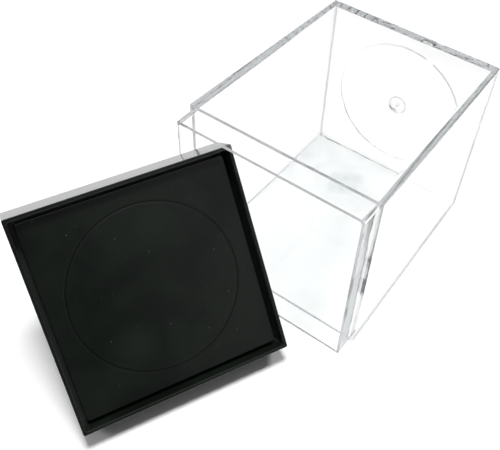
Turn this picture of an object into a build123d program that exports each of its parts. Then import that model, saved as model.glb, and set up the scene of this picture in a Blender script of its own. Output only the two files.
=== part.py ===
from build123d import *
from math import asin, cos, degrees, radians, sin
import os

# Figure display case: a clear moulded cover, lying on its side, and the black base that it
# plugs into, which stands on one edge and leans on the cover's open mouth.
# Millimetres. The table is Z = 0, the origin is the centre of the side that the cover lies on,
# and +Y runs from the cover's mouth to its closed end.

# Cover
case_side = 59.5  # outer width and height at the shoulder
cover_length = 70.0  # from the shoulder to the outside of the closed end
cover_wall = 1.7
end_wall = 2.1
draft_angle = 1.0  # degrees that each side leans in towards the closed end
corner_radius = 0.4  # the four long outer corners
inner_corner_radius = 0.9
end_edge_radius = 0.4
end_inner_radius = 0.5  # where the sides meet the closed end inside

# Lip that plugs into the base
lip_length = 6.7
lip_step = 1.05  # how far the lip is set in from the outer walls
lip_lead_in = 0.25

# Mould marks
end_ring_radius = 21.8  # fine circle on the outside of the closed end
platform_ring_radius = 22.85  # fine circle on the base's platform
ring_width = 0.4
ring_depth = 0.15
gate_radius = 2.7  # dish over the gate, with a dome of the same form inside
gate_depth = 0.7
nib_radius = 0.45
nib_height = 0.45
nib_root = 0.2  # how deep the nib starts in the wall

# Base
base_height = 12.2
base_wall = 1.8  # side walls below the channel
platform_drop = 2.6  # how far the platform lies below the rim
platform_skin = 1.8
channel_skin = 1.6  # under the channel and behind its inner wall
rim_edge_radius = 0.2
platform_edge_radius = 0.3
foot_edge_radius = 0.25

# Fits
plug_clearance = 0.1  # between the lip and the base's rim
platform_clearance = 0.45  # between the lip and the base's platform
seat_clearance = 0.3  # below the lip when the shoulder sits on the rim

# How the two lie
lean_angle = 53.2  # degrees between the base's underside and the table
turn_angle = 63.8  # degrees from +X to the edge that the base stands on
lean_overhang = 10.4  # along the base's back edge, from the leaning point to the corner
lean_gap = 0.3

# Sizes that follow from the ones above
lip_side = case_side - 2 * lip_step
inner_side = case_side - 2 * cover_wall
channel_side = lip_side + 2 * plug_clearance
platform_side = inner_side - 2 * platform_clearance
channel_depth = lip_length + seat_clearance

# The cover's axis dips by the draft angle, so that its lower side lies flat on the table
dip = radians(draft_angle)
across = Vector(1, 0, 0)
along = Vector(0, cos(dip), -sin(dip))
upright = Vector(0, sin(dip), cos(dip))
shoulder = Plane(
    origin=upright * case_side / 2 - Vector(0, cover_length / 2, 0),
    x_dir=across,
    z_dir=along,
)
cover_axis = Axis(shoulder.origin, along)
lip_end = shoulder.offset(-lip_length)
end_inside = shoulder.offset(cover_length - end_wall)
end_outside = shoulder.offset(cover_length)

# The gate's dish and dome are caps of one sphere
gate_sphere = (gate_radius**2 + gate_depth**2) / (2 * gate_depth)
gate_arc = degrees(asin(gate_radius / gate_sphere))

# Clear cover: five drafted walls, with a stepped lip around the open mouth
with BuildPart() as clear_cover:
    with BuildSketch(shoulder):
        Rectangle(case_side, case_side)
    extrude(amount=cover_length)
    side_faces = clear_cover.faces().sort_by(cover_axis)[1:-1]
    draft(side_faces, neutral_plane=shoulder, angle=draft_angle)
    long_edges = clear_cover.edges().sort_by(cover_axis)[4:-4]
    fillet(long_edges, corner_radius)
    fillet(clear_cover.faces().sort_by(cover_axis)[-1].edges(), end_edge_radius)

    with BuildSketch(lip_end):
        RectangleRounded(lip_side, lip_side, corner_radius)
    extrude(amount=lip_length)
    chamfer(clear_cover.faces().sort_by(cover_axis)[0].edges(), lip_lead_in)

    # The cavity is straight through the lip and tapers from the shoulder on
    with BuildSketch(lip_end):
        RectangleRounded(inner_side, inner_side, inner_corner_radius)
    extrude(amount=lip_length, mode=Mode.SUBTRACT)
    with BuildSketch(shoulder):
        RectangleRounded(inner_side, inner_side, inner_corner_radius)
    extrude(amount=cover_length - end_wall, taper=draft_angle, mode=Mode.SUBTRACT)
    inner_end = clear_cover.faces().filter_by(cover_axis).sort_by(cover_axis)[-2]
    fillet(inner_end.edges(), end_inner_radius)

    # Fine circle that the mould leaves on the outside of the closed end
    with BuildSketch(end_outside):
        Circle(end_ring_radius + ring_width / 2)
        Circle(end_ring_radius - ring_width / 2, mode=Mode.SUBTRACT)
    extrude(amount=-ring_depth, mode=Mode.SUBTRACT)

    # Gate: a dish in the outside of the closed end, and a dome behind it that keeps the wall
    for face, cap_mode in ((end_outside, Mode.SUBTRACT), (end_inside, Mode.ADD)):
        with BuildSketch(Plane(origin=face.origin, x_dir=across, z_dir=upright)):
            with BuildLine():
                CenterArc((0, gate_sphere - gate_depth), gate_sphere, -90, gate_arc)
                Polyline((gate_radius, 0), (0, 0), (0, -gate_depth))
            make_face()
        revolve(axis=Axis(face.origin, face.z_dir), mode=cap_mode)
    with BuildSketch(end_outside.offset(-gate_depth - nib_root)):
        Circle(nib_radius)
    extrude(amount=nib_root + nib_height)
clear_cover.part.label = "clear_cover"

# The base leans back towards the mouth's left wall, and its upper edge meets the lip there
lean = radians(lean_angle)
turn = radians(turn_angle)
edge_dir = Vector(cos(turn), sin(turn), 0)
back_dir = Vector(-sin(turn), cos(turn), 0)
rise_dir = back_dir * cos(lean) + Vector(0, 0, sin(lean))
face_dir = edge_dir.cross(rise_dir)

# A rounded edge reaches less far than a sharp one would, down to the table and back to the lip
edge_loss = foot_edge_radius * (sin(lean) + cos(lean) - 1)
lean_height = case_side * sin(lean) - edge_loss
lip_inner_edge = lip_end.origin - across * inner_side / 2
lean_point = lip_inner_edge + upright * (lean_height - lip_inner_edge.Z) / upright.Z
upper_corner = lean_point + edge_dir * lean_overhang - back_dir * (lean_gap - edge_loss)
underside = Plane(
    origin=upper_corner - (edge_dir + rise_dir) * case_side / 2,
    x_dir=edge_dir,
    z_dir=face_dir,
)
base_axis = Axis(underside.origin, face_dir)
rim_top = underside.offset(base_height)
platform_top = rim_top.offset(-platform_drop)

# Black base: a platform inside a channel and rim that take the cover's lip, hollow below
with BuildPart() as black_base:
    with BuildSketch(underside):
        RectangleRounded(case_side, case_side, corner_radius)
    extrude(amount=base_height)
    fillet(black_base.faces().sort_by(base_axis)[0].edges(), foot_edge_radius)

    with BuildSketch(rim_top):
        RectangleRounded(channel_side, channel_side, corner_radius + plug_clearance)
        RectangleRounded(
            platform_side, platform_side, inner_corner_radius, mode=Mode.SUBTRACT
        )
    extrude(amount=-channel_depth, mode=Mode.SUBTRACT)
    with BuildSketch(rim_top):
        RectangleRounded(platform_side, platform_side, inner_corner_radius)
    extrude(amount=-platform_drop, mode=Mode.SUBTRACT)
    fillet(black_base.faces().sort_by(base_axis)[-1].edges(), rim_edge_radius)
    fillet(
        black_base.faces().filter_by(base_axis).sort_by(base_axis)[-2].edges(),
        platform_edge_radius,
    )

    # Hollow underside, one skin below the channel and one below the platform
    hollow_side = case_side - 2 * base_wall
    with BuildSketch(underside):
        RectangleRounded(hollow_side, hollow_side, inner_corner_radius)
    extrude(amount=base_height - channel_depth - channel_skin, mode=Mode.SUBTRACT)
    core_side = platform_side - 2 * channel_skin
    with BuildSketch(underside):
        RectangleRounded(core_side, core_side, inner_corner_radius)
    extrude(amount=base_height - platform_drop - platform_skin, mode=Mode.SUBTRACT)

    # Fine circle on the platform
    with BuildSketch(platform_top):
        Circle(platform_ring_radius + ring_width / 2)
        Circle(platform_ring_radius - ring_width / 2, mode=Mode.SUBTRACT)
    extrude(amount=-ring_depth, mode=Mode.SUBTRACT)
black_base.part.label = "black_base"

os.makedirs("parts", exist_ok=True)
export_step(clear_cover.part, "parts/clear_cover.step")
export_step(black_base.part, "parts/black_base.step")
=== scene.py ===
from math import cos, pi, radians, sin

import bpy
from mathutils import Matrix, Vector

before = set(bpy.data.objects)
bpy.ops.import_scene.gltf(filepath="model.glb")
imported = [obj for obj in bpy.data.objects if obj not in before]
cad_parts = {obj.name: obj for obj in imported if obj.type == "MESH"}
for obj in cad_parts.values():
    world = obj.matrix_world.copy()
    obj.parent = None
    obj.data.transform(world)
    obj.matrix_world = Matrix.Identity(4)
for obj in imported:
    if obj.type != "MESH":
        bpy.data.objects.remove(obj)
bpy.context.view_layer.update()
SCENE = bpy.context.scene

# Lengths are in metres and angles in degrees. A noise is given by its size, its detail and
# its distortion. A range is given by where a value starts and ends, and what it becomes there.

# Camera
EYE = Vector((0.07228, -0.14362, 0.18299))
HEADING = 33.342
PITCH = -49.866
ROLL = 3.17
LENS_MM = 51.653
SENSOR_MM = 36.0
SHIFT_X = -0.05436
SHIFT_Y = 0.01889
CLIP_START = 0.005

# Table, which is brighter to rays that end in the picture and turns plain white far away
FLOOR_SIZE = 6.0
FLOOR_LEVEL = -0.0001
FLOOR_COLOUR = (0.85, 0.85, 0.85, 1.0)
FLOOR_EXTRA = (0.20, 0.20, 0.20, 1.0)
FLOOR_FADE = (0.5, 1.0)

# Room: strengths, with heights and sides as parts of a direction of length 1
AMBIENT_HEIGHTS = (0.20, 0.85)
AMBIENT = (0.02, 0.175)
MIRRORED_HEIGHTS = (0.42, 0.85)
MIRRORED_Y = (-0.42, -0.08)
MIRRORED_LOW = (0.08, 0.28)

# Lamps in a row: each has a tilt along the row and a level
ROW_CENTRE = Vector((0.0, -0.03, 0.0))
ROW_HEADING = 63.8
ROW_DISTANCE = 1.6
ROW_SIZE = 0.40
ROW_LAMPS = ((0.0, 0.72), (36.0, 0.25), (-45.0, 0.16))
LIGHT_BOUNCES = 64

# How the two pieces lie, as in the CAD model
DRAFT = 1.0
LEAN = 53.2
TURN = 63.8
ACROSS = Vector((1.0, 0.0, 0.0))
ALONG = Vector((0.0, cos(radians(DRAFT)), -sin(radians(DRAFT))))
UPRIGHT = ACROSS.cross(ALONG)
EDGE = Vector((cos(radians(TURN)), sin(radians(TURN)), 0.0))
BACK = Vector((-sin(radians(TURN)), cos(radians(TURN)), 0.0))
RISE = BACK * cos(radians(LEAN)) + Vector((0.0, 0.0, sin(radians(LEAN))))
FACE = EDGE.cross(RISE)

# Sizes of the part, as in the CAD model
CASE_HALF = 0.02975
COVER_LENGTH = 0.070
COVER_WALL = 0.0017
END_WALL = 0.0021
LIP_LENGTH = 0.0067
LIP_STEP = 0.00105
PLUG_CLEARANCE = 0.0001
END_RING = 0.0218
PLATFORM_RING = 0.02285
PLATFORM_HEIGHT = 0.0096
INNER_HALF = CASE_HALF - COVER_WALL
INNER_DEPTH = COVER_LENGTH - END_WALL
LIP_HALF = CASE_HALF - LIP_STEP
RIM_INNER = LIP_HALF + PLUG_CLEARANCE

# Limits that tell the cover's faces apart
LIP_END = 0.0003 - LIP_LENGTH
LIP_INNER = INNER_HALF + 0.00025
RIGHT_WALL = INNER_HALF - 0.00025
LIP_OUTER = LIP_HALF - 0.0001
END_OUTER = COVER_LENGTH - 0.001
STEP_HALF = 0.00004

# Clear plastic
CLEAR_IOR = 1.59
CLEAR_DENSITY = 9.8
CLEAR_COLOUR = (0.18, 0.20, 0.23, 1.0)
LAMP_TINT = (0.985, 0.99, 0.99, 1.0)
WHITE = (1.0, 1.0, 1.0, 1.0)
UNEVEN_DEPTH = 0.00001
LONG_RIPPLE = 0.006
SHORT_RIPPLE = 0.0015
SHORT_SHARE = 0.25

# Painted shade of the fine lines on the closed end, in place of the shade their edges throw by
# refraction. The painted shade is fainter in the quarters told by side times height
LINE_HALF = 0.0003
LINE_SHADE = 0.8
LINE_SHADE_COLOUR = (0.25, 0.27, 0.28, 1.0)
GATE_RING = 0.0030
RING_SHADE_STRENGTH = (-0.00015, 0.00015, 0.3, 1.0)
RING_BREAK = (0.0075, 0.0206, 0.0)
RING_BREAK_FADE = (0.00105, 0.0015)

# Painted shade: dark streaks on the right of the shoulder's step, along the lip's right end and
# below, in place of the dark seen there by total internal reflection
STREAK_STRETCH = 0.35
STREAK_NOISE = (0.0022, 3.0)
STREAK_RANGE = (0.42, 0.52, 0.2, 1.0)
SHADE_STREAK_COLOUR = (0.06, 0.065, 0.07, 1.0)
STEP_STREAKS = (0.0055, -0.0028)
STEP_STREAK_HALF = 0.0052
STEP_STREAK_SHARE = 0.68
END_STREAK_HALF = 0.014
END_STREAK_DEPTH = 0.0007
END_STREAK_SHARE = 0.35
LOW_EDGE_SHARE = 0.45

# Painted shade on the side that the cover lies on, for the table's soft shadows seen through it,
# with spots as side, depth, size and strength
TABLE_SHADE_COLOUR = (0.66, 0.73, 0.71, 1.0)
TABLE_SHADE_HEIGHTS = (-0.026, -0.0275)
WISP_NOISE = (0.012, 3.0, 0.8)
WISP_RANGE = (0.35, 0.62, 0.15, 1.0)
WISP_DEPTHS = (-0.01, 0.065)
WISP_SHARE = 0.33
LIP_SHADE = (-0.0035, -LIP_LENGTH, 0.0, 0.1)
TABLE_SHADE_SPOTS = (
    (-0.0098, 0.0533, 0.0058, 0.75),
    (-0.0073, 0.0549, 0.0058, 0.85),
    (-0.0048, 0.0565, 0.0058, 0.75),
    (-0.0088, 0.0488, 0.0056, 0.75),
    (-0.0063, 0.0504, 0.0056, 0.85),
    (-0.0038, 0.0520, 0.0056, 0.75),
    (-0.0255, 0.0560, 0.0070, 0.5),
    (0.0130, 0.0025, 0.0120, 0.2),
    (0.0090, 0.0048, 0.0052, 0.20),
    (0.0128, 0.0042, 0.0052, 0.20),
    (0.0130, -0.0046, 0.0046, 0.24),
    (0.0165, -0.0046, 0.0046, 0.24),
)

# The inside of the lip's right wall leans, and lets some light straight through
LEAN_NOISE = (0.0035, 3.0, 0.5)
LEAN_RANGE = (0.25, 0.5, 0.084, 0.12)
LEAN_START = 0.0016
LEAN_START_WAVE = 0.003
STRAIGHT_RANGE = (0.026, 0.008, 0.08, 0.30)
STRAIGHT_COLOUR = (0.93, 0.97, 1.0, 1.0)

# Less polished faces: shares of a white satin and of a soft shine, most of them as ranges
SATIN_COLOUR = (0.96, 0.96, 0.98, 1.0)
END_SATIN = (0.0275, 0.0282, 0.42, 0.5)
END_SATIN_LEFT = (-0.0285, -0.022, 0.2, 1.0)
STEP_SATIN = (0.028, 0.0285, 0.5, 0.0)
SHINE_ROUGHNESS = 0.15
STEP_SHINE = (0.004, -0.008, 0.6, 0.95)
CORNER_REACH = 0.00045
CORNER_SATIN = 0.85
CORNER_SHINE = 0.55

# Black plastic, with painted sheen patches as across, up and size
BLACK_IOR = 1.5
BLACK_DARK = (0.0036, 0.0054, 0.0041, 1.0)
BLACK_LIGHT = (0.0098, 0.0130, 0.0104, 1.0)
CLOUD_NOISE = (0.016, 3.0, 0.4)
CLOUD_RANGE = (0.3, 0.7, 0.0, 0.7)
SHEEN_PATCHES = ((-0.0092, -0.0133, 0.010), (0.004, 0.017, 0.014))
GLOSS_NOISE = (0.010, 3.0, 0.5)
GLOSS_RANGE = (0.3, 0.7, 0.07, 0.12)
WAVE_DEPTH = 0.00002
WAVE_NOISE = (0.004, 3.0)
CHANNEL_HEIGHTS = (PLATFORM_HEIGHT - 0.0003, PLATFORM_HEIGHT - 0.0020)
CHANNEL_COLOUR = (0.034, 0.037, 0.036, 1.0)

# Fine circle in the platform, with painted shade in its groove
GROOVE_SHADE_COLOUR = (0.001, 0.001, 0.001, 1.0)
GROOVE_SHADE = 0.5
GROOVE_HALF = 0.00055
GROOVE_BUMP = -1.0
GROOVE_REACH = 0.0008

# Dust and scratches on the black plastic: spacing, radius and share of the places with a mark
FLAT_FACING = 0.9
DUST = (0.0085, 0.00018, 0.3)
DUST_COLOUR = (0.06, 0.068, 0.062, 1.0)
SCRATCHES = (0.0021, 0.00008, 0.05)
SCRATCH_TURNS = (25.0, 80.0, 140.0)
SCRATCH_STRETCH = 12
SCRATCH_SHARE = 0.22
MARK_ROUGHNESS = 0.5


def add_node(tree, kind, **settings):
    """A shader node with its attributes and input values set."""
    node = tree.nodes.new(kind)
    for name, value in settings.items():
        if name in node.inputs:
            node.inputs[name].default_value = value
        else:
            setattr(node, name, value)
    return node


def wire(tree, value, socket):
    """Link another node's output to a socket, or set the socket's own value."""
    if isinstance(value, bpy.types.NodeSocket):
        tree.links.new(value, socket)
    else:
        socket.default_value = value


def maths(tree, operation, *values):
    """The output of a Math node."""
    node = add_node(tree, "ShaderNodeMath", operation=operation)
    for socket, value in zip(node.inputs, values):
        wire(tree, value, socket)
    return node.outputs[0]


def vectors(tree, operation, *values, output="Vector"):
    """The output of a Vector Math node."""
    node = add_node(tree, "ShaderNodeVectorMath", operation=operation)
    for socket, value in zip(node.inputs, values):
        wire(tree, value, socket)
    return node.outputs[output]


def scaled(tree, vector, factor):
    """A vector times a number."""
    node = add_node(tree, "ShaderNodeVectorMath", operation="SCALE")
    wire(tree, vector, node.inputs["Vector"])
    wire(tree, factor, node.inputs["Scale"])
    return node.outputs["Vector"]


def ramp(tree, value, start, end, low=0.0, high=1.0):
    """A smooth change from low to high while the value goes from start to end."""
    node = add_node(tree, "ShaderNodeMapRange", interpolation_type="SMOOTHSTEP")
    for name, part in zip(
        ("Value", "From Min", "From Max", "To Min", "To Max"), (value, start, end, low, high)
    ):
        wire(tree, part, node.inputs[name])
    return node.outputs[0]


def near(tree, value, centre, half_width):
    """1 where a value is at the centre, falling to 0 at half_width from it."""
    away = maths(tree, "ABSOLUTE", maths(tree, "SUBTRACT", value, centre))
    return maths(tree, "SUBTRACT", 1.0, ramp(tree, away, half_width / 2, half_width))


def product(tree, *factors):
    """All the factors multiplied together."""
    result = factors[0]
    for factor in factors[1:]:
        result = maths(tree, "MULTIPLY", result, factor)
    return result


def largest(tree, *values):
    """The largest of the values."""
    result = values[0]
    for value in values[1:]:
        result = maths(tree, "MAXIMUM", result, value)
    return result


def farthest(tree, first, second):
    """The larger of a point's two distances from the planes through an axis."""
    return largest(tree, maths(tree, "ABSOLUTE", first), maths(tree, "ABSOLUTE", second))


def from_axis(tree, first, second):
    """A point's distance from an axis, worked out from its two places beside it."""
    squares = maths(tree, "ADD", product(tree, first, first), product(tree, second, second))
    return maths(tree, "SQRT", squares)


def noise(tree, vector, size, detail=2.0, distortion=0.0):
    """Soft noise from 0 to 1, with features of about the given size."""
    node = add_node(
        tree, "ShaderNodeTexNoise", Scale=1.0 / size, Detail=detail, Distortion=distortion
    )
    wire(tree, vector, node.inputs["Vector"])
    return node.outputs["Fac"]


def specks(tree, vector, spacing, radius, share):
    """Small round marks on the XY plane, in the given share of cells of the given spacing."""
    node = add_node(
        tree, "ShaderNodeTexVoronoi", voronoi_dimensions="2D", Scale=1.0 / spacing
    )
    wire(tree, vector, node.inputs["Vector"])
    chosen = add_node(tree, "ShaderNodeSeparateColor")
    tree.links.new(node.outputs["Color"], chosen.inputs[0])
    edge = radius / spacing
    beyond = ramp(tree, node.outputs["Distance"], edge / 2, edge)
    mark = maths(tree, "SUBTRACT", 1.0, beyond)
    return product(tree, mark, maths(tree, "LESS_THAN", chosen.outputs[0], share))


def mixed_colour(tree, factor, first, second):
    """A colour between two."""
    node = add_node(tree, "ShaderNodeMix", data_type="RGBA")
    wire(tree, factor, node.inputs[0])
    wire(tree, first, node.inputs[6])
    wire(tree, second, node.inputs[7])
    return node.outputs[2]


def mixed_value(tree, factor, first, second):
    """A number between two."""
    node = add_node(tree, "ShaderNodeMix", data_type="FLOAT")
    wire(tree, factor, node.inputs["Factor"])
    wire(tree, first, node.inputs["A"])
    wire(tree, second, node.inputs["B"])
    return node.outputs[0]


def shader(tree, kind, **settings):
    """The output of a shader node."""
    return add_node(tree, kind, **settings).outputs[0]


def mixed_shader(tree, share, first, second):
    """A surface between two."""
    node = add_node(tree, "ShaderNodeMixShader")
    tree.links.new(share, node.inputs[0])
    tree.links.new(first, node.inputs[1])
    tree.links.new(second, node.inputs[2])
    return node.outputs[0]


def joined(tree, *parts):
    """A vector from its three parts."""
    node = add_node(tree, "ShaderNodeCombineXYZ")
    for socket, part in zip(node.inputs, parts):
        wire(tree, part, socket)
    return node.outputs[0]


def own_place(tree, origin, axes):
    """A point's place along three axes from an origin that moves with the piece."""
    coordinates = add_node(tree, "ShaderNodeTexCoord")
    offset = vectors(tree, "SUBTRACT", coordinates.outputs["Object"], origin)
    return [vectors(tree, "DOT_PRODUCT", offset, axis, output="Value") for axis in axes]


def reach(node, axis):
    """How far a CAD node reaches along an axis, lowest and highest."""
    places = [point.co.dot(axis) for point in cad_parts[node].data.vertices]
    return min(places), max(places)


def middle(node, axis):
    """The middle of a CAD node along an axis, as a vector."""
    return axis * (sum(reach(node, axis)) / 2)


def new_material(name):
    """An empty material and its node tree."""
    material = bpy.data.materials.new(name)
    material.use_nodes = True
    material.node_tree.nodes.clear()
    return material, material.node_tree


def floor_material():
    """White table: bright to the camera, with the object's shadow, and plain white far away."""
    material, tree = new_material("white_table")
    path = add_node(tree, "ShaderNodeLightPath")
    seen = largest(
        tree,
        path.outputs["Is Camera Ray"],
        path.outputs["Is Transmission Ray"],
        path.outputs["Is Glossy Ray"],
    )
    place = add_node(tree, "ShaderNodeTexCoord").outputs["Object"]
    distance = vectors(tree, "LENGTH", place, output="Value")
    plain = shader(tree, "ShaderNodeBsdfDiffuse", Color=FLOOR_COLOUR)
    # The first input is left empty, so that other rays get nothing extra
    extra = add_node(tree, "ShaderNodeMixShader")
    tree.links.new(seen, extra.inputs[0])
    tree.links.new(
        shader(tree, "ShaderNodeBsdfDiffuse", Color=FLOOR_EXTRA), extra.inputs[2]
    )
    both = add_node(tree, "ShaderNodeAddShader")
    tree.links.new(plain, both.inputs[0])
    tree.links.new(extra.outputs[0], both.inputs[1])
    white = shader(tree, "ShaderNodeEmission", Strength=1.0)
    far = product(tree, seen, ramp(tree, distance, *FLOOR_FADE))
    out = add_node(tree, "ShaderNodeOutputMaterial")
    tree.links.new(mixed_shader(tree, far, both.outputs[0], white), out.inputs["Surface"])
    return material


def end_line_shade(tree, side, height, depth):
    """Painted shade of the fine circles on the closed end, and the gap where the larger one is
    broken.
    """
    radius = from_axis(tree, side, height)
    at_end = maths(tree, "GREATER_THAN", depth, END_OUTER)
    # The painted shade is fainter in two quarters, told by side times height
    strength = ramp(tree, product(tree, side, height), *RING_SHADE_STRENGTH)
    on_end = joined(tree, side, height, 0.0)
    from_break = vectors(tree, "DISTANCE", on_end, RING_BREAK, output="Value")
    unbroken = ramp(tree, from_break, *RING_BREAK_FADE)
    ring_shade = product(tree, near(tree, radius, END_RING, LINE_HALF), strength, unbroken)
    gate = near(tree, radius, GATE_RING, LINE_HALF)
    lines = product(tree, at_end, largest(tree, ring_shade, gate))
    over_ring = near(tree, radius, END_RING, 2 * LINE_HALF)
    gap = product(tree, at_end, over_ring, maths(tree, "SUBTRACT", 1.0, unbroken))
    return lines, gap


def painted_shade_streaks(tree, side, height, depth, right_step):
    """Painted shade: dark streaks on the right step and on the lip's right end, and a dark line
    along its bottom.
    """
    long_place = joined(tree, side, product(tree, height, STREAK_STRETCH), depth)
    broken = ramp(tree, noise(tree, long_place, *STREAK_NOISE), *STREAK_RANGE)
    windows = [near(tree, height, centre, STEP_STREAK_HALF) for centre in STEP_STREAKS]
    on_step = product(tree, right_step, largest(tree, *windows), STEP_STREAK_SHARE)
    on_end = product(
        tree,
        near(tree, height, 0.0, END_STREAK_HALF),
        maths(tree, "LESS_THAN", depth, END_STREAK_DEPTH - LIP_LENGTH),
        maths(tree, "GREATER_THAN", side, RIGHT_WALL),
        END_STREAK_SHARE,
    )
    low_edge = product(
        tree,
        maths(tree, "LESS_THAN", depth, LIP_END),
        maths(tree, "LESS_THAN", height, LINE_HALF - LIP_INNER),
        LOW_EDGE_SHARE,
    )
    return largest(tree, product(tree, broken, largest(tree, on_step, on_end)), low_edge)


def painted_table_shade(tree, side, height, depth):
    """Painted shade on the side that the cover lies on, for the table's soft shadows seen
    through it, most of it towards the closed end.
    """
    place = joined(tree, side, height, depth)
    wisps = ramp(tree, noise(tree, place, *WISP_NOISE), *WISP_RANGE)
    table_shade = product(tree, wisps, ramp(tree, depth, *WISP_DEPTHS), WISP_SHARE)
    flat_place = joined(tree, side, 0.0, depth)
    for x, y, size, strength in TABLE_SHADE_SPOTS:
        away = vectors(tree, "DISTANCE", flat_place, (x, 0.0, y), output="Value")
        table_shade = largest(tree, table_shade, ramp(tree, away, size, 0.0, 0.0, strength))
    # Painted shadow on the table in front of the lip, seen through the lower wall
    table_shade = largest(tree, table_shade, ramp(tree, depth, *LIP_SHADE))
    return product(tree, table_shade, ramp(tree, height, *TABLE_SHADE_HEIGHTS))


def lip_lean(tree, side, height, depth):
    """1 on the inside of the lip's right wall, and how far its surface leans there."""
    place = joined(tree, side, height, depth)
    patchy = noise(tree, place, *LEAN_NOISE)
    start = maths(tree, "SUBTRACT", depth, LEAN_START_WAVE / 2)
    wavy = maths(tree, "MULTIPLY_ADD", patchy, LEAN_START_WAVE, start)
    in_lip = product(
        tree,
        maths(tree, "LESS_THAN", wavy, -LEAN_START),
        maths(tree, "LESS_THAN", farthest(tree, side, height), LIP_INNER),
        maths(tree, "GREATER_THAN", side, RIGHT_WALL),
    )
    return in_lip, product(tree, in_lip, ramp(tree, patchy, *LEAN_RANGE))


def cover_normal(tree, place, lean):
    """The cover's normal, leaning along its axis where asked, and a little uneven all over."""
    geometry = add_node(tree, "ShaderNodeNewGeometry")
    # A surface seen from inside has its normal turned round, so there the lean is turned too
    turned = maths(tree, "MULTIPLY_ADD", geometry.outputs["Backfacing"], 2.0, -1.0)
    tilt = scaled(tree, ALONG, product(tree, lean, turned))
    leaning = vectors(tree, "ADD", geometry.outputs["Normal"], tilt)
    short = noise(tree, place, SHORT_RIPPLE)
    ripple = maths(tree, "MULTIPLY_ADD", short, SHORT_SHARE, noise(tree, place, LONG_RIPPLE))
    uneven = add_node(tree, "ShaderNodeBump", Strength=1.0, Distance=UNEVEN_DEPTH)
    tree.links.new(ripple, uneven.inputs["Height"])
    tree.links.new(vectors(tree, "NORMALIZE", leaning), uneven.inputs["Normal"])
    return uneven.outputs[0]


def left_corners(tree, side, height, depth):
    """1 in the inner corners on the left: the one along the table, and the one at the end."""
    taper = product(tree, depth, sin(radians(DRAFT)))
    from_left = maths(tree, "SUBTRACT", side, taper)
    from_below = maths(tree, "SUBTRACT", height, taper)
    left = maths(tree, "COMPARE", from_left, -INNER_HALF, CORNER_REACH)
    below = maths(tree, "COMPARE", from_below, -INNER_HALF, CORNER_REACH)
    behind = maths(tree, "COMPARE", depth, INNER_DEPTH, CORNER_REACH)
    return product(tree, left, below), product(tree, left, behind)


def clear_plastic():
    """Clear polystyrene: lamps pass it, and long ways through it darken. Painted shade marks its
    streaks, end lines and lower wall.
    """
    material, tree = new_material("clear_plastic")
    mouth = ALONG * (reach("clear_cover", ALONG)[0] + LIP_LENGTH)
    shoulder = middle("clear_cover", ACROSS) + middle("clear_cover", UPRIGHT) + mouth
    side, height, depth = own_place(tree, shoulder, (ACROSS, UPRIGHT, ALONG))
    step = near(tree, depth, 0.0, STEP_HALF)
    right_step = product(tree, step, maths(tree, "GREATER_THAN", side, LIP_OUTER))
    lines, gap = end_line_shade(tree, side, height, depth)
    in_lip, lean = lip_lean(tree, side, height, depth)
    low_corner, end_corner = left_corners(tree, side, height, depth)

    # Painted shade: greyish patches on the lower wall for the table's soft shadows seen through
    # it
    table_shade = painted_table_shade(tree, side, height, depth)
    tint = mixed_colour(tree, table_shade, WHITE, TABLE_SHADE_COLOUR)
    # Painted shade: dark lines at the end's ring and gate, in place of the shade refraction
    # throws there
    tint = mixed_colour(tree, product(tree, lines, LINE_SHADE), tint, LINE_SHADE_COLOUR)
    body = add_node(tree, "ShaderNodeBsdfPrincipled", Roughness=0.0, IOR=CLEAR_IOR)
    body.inputs["Transmission Weight"].default_value = 1.0
    tree.links.new(tint, body.inputs["Base Color"])
    normal = cover_normal(tree, joined(tree, side, height, depth), lean)
    tree.links.new(normal, body.inputs["Normal"])

    # The lip's end, the shoulder and the left's inner corners are less polished than the walls
    end_satin = product(
        tree,
        maths(tree, "LESS_THAN", depth, LIP_END),
        ramp(tree, side, *END_SATIN_LEFT),
        ramp(tree, side, *END_SATIN),
    )
    step_satin = product(tree, step, ramp(tree, side, *STEP_SATIN))
    corner_satin = product(tree, low_corner, CORNER_SATIN)
    satin_share = maths(tree, "ADD", maths(tree, "ADD", end_satin, step_satin), corner_satin)
    satin = shader(tree, "ShaderNodeBsdfDiffuse", Color=SATIN_COLOUR)
    surface = mixed_shader(tree, satin_share, body.outputs[0], satin)
    shine_share = largest(
        tree,
        product(tree, right_step, ramp(tree, height, *STEP_SHINE)),
        product(tree, end_corner, CORNER_SHINE),
    )
    shine = shader(tree, "ShaderNodeBsdfGlossy", Roughness=SHINE_ROUGHNESS)
    surface = mixed_shader(tree, shine_share, surface, shine)

    # Painted shade: a dark diffuse surface in streaks, where the dark comes from total internal
    # reflection in the lip
    shade_streaks = painted_shade_streaks(tree, side, height, depth, right_step)
    streak_shade = shader(tree, "ShaderNodeBsdfDiffuse", Color=SHADE_STREAK_COLOUR)
    surface = mixed_shader(tree, shade_streaks, surface, streak_shade)

    # Some light goes straight through the lip's inside, and all of it through the ring's gap
    straight_share = product(tree, in_lip, ramp(tree, height, *STRAIGHT_RANGE))
    straight = add_node(tree, "ShaderNodeBsdfTransparent")
    straight_colour = mixed_colour(tree, in_lip, WHITE, STRAIGHT_COLOUR)
    tree.links.new(straight_colour, straight.inputs["Color"])
    straight_share = largest(tree, straight_share, gap)
    surface = mixed_shader(tree, straight_share, surface, straight.outputs[0])

    path = add_node(tree, "ShaderNodeLightPath")
    through = shader(tree, "ShaderNodeBsdfTransparent", Color=LAMP_TINT)
    surface = mixed_shader(tree, path.outputs["Is Shadow Ray"], surface, through)
    surface = mixed_shader(tree, path.outputs["Is Diffuse Ray"], surface, through)
    volume = shader(
        tree, "ShaderNodeVolumeAbsorption", Color=CLEAR_COLOUR, Density=CLEAR_DENSITY
    )
    out = add_node(tree, "ShaderNodeOutputMaterial")
    tree.links.new(surface, out.inputs["Surface"])
    tree.links.new(volume, out.inputs["Volume"])
    return material


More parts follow.
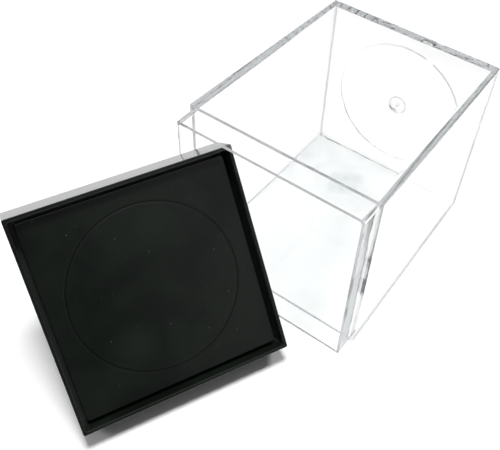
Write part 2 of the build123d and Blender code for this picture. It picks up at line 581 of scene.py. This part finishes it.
def dust_and_scratches(tree, across, up, height):
    """Dust and fine scratches, on the faces that are square to the case's axis."""
    marks = specks(tree, joined(tree, across, up, height), *DUST)
    for turn in SCRATCH_TURNS:
        long_way = maths(
            tree,
            "ADD",
            product(tree, across, cos(radians(turn)) / SCRATCH_STRETCH),
            product(tree, up, sin(radians(turn)) / SCRATCH_STRETCH),
        )
        short_way = maths(
            tree,
            "ADD",
            product(tree, across, -sin(radians(turn))),
            product(tree, up, cos(radians(turn))),
        )
        lines = specks(tree, joined(tree, long_way, short_way, 0.0), *SCRATCHES)
        marks = largest(tree, marks, product(tree, lines, SCRATCH_SHARE))
    geometry = add_node(tree, "ShaderNodeNewGeometry")
    facing = vectors(tree, "DOT_PRODUCT", geometry.outputs["Normal"], FACE, output="Value")
    flat = maths(tree, "GREATER_THAN", maths(tree, "ABSOLUTE", facing), FLAT_FACING)
    return product(tree, marks, flat)


def black_plastic():
    """Glossy black moulding, a little cloudy, with two painted sheen patches, painted shade in
    the platform's groove, dust and fine scratches.
    """
    material, tree = new_material("black_plastic")
    underside = middle("black_base", EDGE) + middle("black_base", RISE)
    underside += FACE * reach("black_base", FACE)[0]
    across, up, height = own_place(tree, underside, (EDGE, RISE, FACE))
    place = joined(tree, across, up, height)
    radius = from_axis(tree, across, up)
    at_platform = near(tree, height, PLATFORM_HEIGHT, GROOVE_REACH)

    clouds_and_sheen = ramp(tree, noise(tree, place, *CLOUD_NOISE), *CLOUD_RANGE)
    flat_place = joined(tree, across, up, 0.0)
    # Painted sheen: two listed patches made lighter where the glossy face mirrors soft light
    for x, y, size in SHEEN_PATCHES:
        away = vectors(tree, "DISTANCE", flat_place, (x, y, 0.0), output="Value")
        clouds_and_sheen = largest(tree, clouds_and_sheen, ramp(tree, away, size, 0.0))
    colour = mixed_colour(tree, clouds_and_sheen, BLACK_DARK, BLACK_LIGHT)

    # The channel round the platform is given a lighter colour, so it isn't quite black
    in_channel = product(
        tree,
        ramp(tree, height, *CHANNEL_HEIGHTS),
        maths(tree, "LESS_THAN", farthest(tree, across, up), RIM_INNER),
    )
    colour = mixed_colour(tree, in_channel, colour, CHANNEL_COLOUR)
    marks = dust_and_scratches(tree, across, up, height)
    colour = mixed_colour(tree, marks, colour, DUST_COLOUR)
    # Painted shade: the platform's groove is darkened in its colour
    ring_shade = product(tree, near(tree, radius, PLATFORM_RING, LINE_HALF), at_platform, GROOVE_SHADE)
    colour = mixed_colour(tree, ring_shade, colour, GROOVE_SHADE_COLOUR)

    body = add_node(tree, "ShaderNodeBsdfPrincipled", IOR=BLACK_IOR)
    tree.links.new(colour, body.inputs["Base Color"])
    rough = ramp(tree, noise(tree, place, *GLOSS_NOISE), *GLOSS_RANGE)
    rough = maths(tree, "ADD", rough, product(tree, marks, MARK_ROUGHNESS))
    tree.links.new(rough, body.inputs["Roughness"])
    groove = product(tree, near(tree, radius, PLATFORM_RING, GROOVE_HALF), at_platform)
    waves = maths(tree, "MULTIPLY_ADD", groove, GROOVE_BUMP, noise(tree, place, *WAVE_NOISE))
    uneven = add_node(tree, "ShaderNodeBump", Strength=1.0, Distance=WAVE_DEPTH)
    tree.links.new(waves, uneven.inputs["Height"])
    tree.links.new(uneven.outputs[0], body.inputs["Normal"])
    out = add_node(tree, "ShaderNodeOutputMaterial")
    tree.links.new(body.outputs[0], out.inputs["Surface"])
    return material


def set_material(node, material):
    """Give a CAD node one material."""
    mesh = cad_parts[node].data
    mesh.materials.clear()
    mesh.materials.append(material)


def make_floor():
    """The white table that the case lies on."""
    half = FLOOR_SIZE / 2
    mesh = bpy.data.meshes.new("table")
    signs = ((-1, -1), (1, -1), (1, 1), (-1, 1))
    corners = [(x * half, y * half, FLOOR_LEVEL) for x, y in signs]
    mesh.from_pydata(corners, [], [(0, 1, 2, 3)])
    table = bpy.data.objects.new("table", mesh)
    SCENE.collection.objects.link(table)
    mesh.materials.append(floor_material())


def make_world():
    """White room: soft light from above, and where it is mirrored, dim low down."""
    world = bpy.data.worlds.new("surroundings")
    SCENE.world = world
    world.use_nodes = True
    tree = world.node_tree
    tree.nodes.clear()
    path = add_node(tree, "ShaderNodeLightPath")
    place = add_node(tree, "ShaderNodeTexCoord")
    parts = add_node(tree, "ShaderNodeSeparateXYZ")
    tree.links.new(place.outputs["Generated"], parts.inputs[0])
    # Low down, the side that the base faces is dim and brightens towards +Y
    low = ramp(tree, parts.outputs["Y"], *MIRRORED_Y, *MIRRORED_LOW)
    mirrored = ramp(tree, parts.outputs["Z"], *MIRRORED_HEIGHTS, low, 1.0)
    ambient = ramp(tree, parts.outputs["Z"], *AMBIENT_HEIGHTS, *AMBIENT)
    strength = mixed_value(tree, path.outputs["Is Diffuse Ray"], mirrored, ambient)
    strength = mixed_value(tree, path.outputs["Is Camera Ray"], strength, 1.0)
    background = add_node(tree, "ShaderNodeBackground", Color=WHITE)
    tree.links.new(strength, background.inputs["Strength"])
    out = add_node(tree, "ShaderNodeOutputWorld")
    tree.links.new(background.outputs[0], out.inputs["Surface"])


def make_lamps():
    """A row of small soft lamps over the case, along the edge that the base stands on."""
    row = Vector((cos(radians(ROW_HEADING)), sin(radians(ROW_HEADING)), 0.0))
    for number, (tilt, level) in enumerate(ROW_LAMPS):
        data = bpy.data.lights.new("lamp_%d" % number, "AREA")
        data.shape = "DISK"
        data.size = ROW_SIZE
        toward = row * sin(radians(tilt)) + Vector((0.0, 0.0, cos(radians(tilt))))
        # The level is the brightness that the lamp gives to a white surface facing it
        data.energy = level * (pi * ROW_DISTANCE) ** 2
        lamp = bpy.data.objects.new("lamp_%d" % number, data)
        lamp.location = toward * ROW_DISTANCE + ROW_CENTRE
        lamp.rotation_euler = toward.to_track_quat("Z", "Y").to_euler()
        lamp.visible_glossy = False
        lamp.visible_transmission = False
        SCENE.collection.objects.link(lamp)


def make_camera():
    """The photograph's viewing angle."""
    data = bpy.data.cameras.new("camera")
    data.lens = LENS_MM
    data.sensor_width = SENSOR_MM
    data.shift_x = SHIFT_X
    data.shift_y = SHIFT_Y
    data.clip_start = CLIP_START
    camera = bpy.data.objects.new("camera", data)
    camera.matrix_world = (
        Matrix.Translation(EYE)
        @ Matrix.Rotation(radians(HEADING), 4, "Z")
        @ Matrix.Rotation(radians(90 + PITCH), 4, "X")
        @ Matrix.Rotation(radians(ROLL), 4, "Z")
    )
    SCENE.collection.objects.link(camera)
    SCENE.camera = camera


set_material("clear_cover", clear_plastic())
set_material("black_base", black_plastic())
make_floor()
make_world()
make_lamps()
make_camera()
SCENE.view_settings.view_transform = "Standard"
SCENE.cycles.max_bounces = LIGHT_BOUNCES
SCENE.cycles.glossy_bounces = LIGHT_BOUNCES
SCENE.cycles.transmission_bounces = LIGHT_BOUNCES
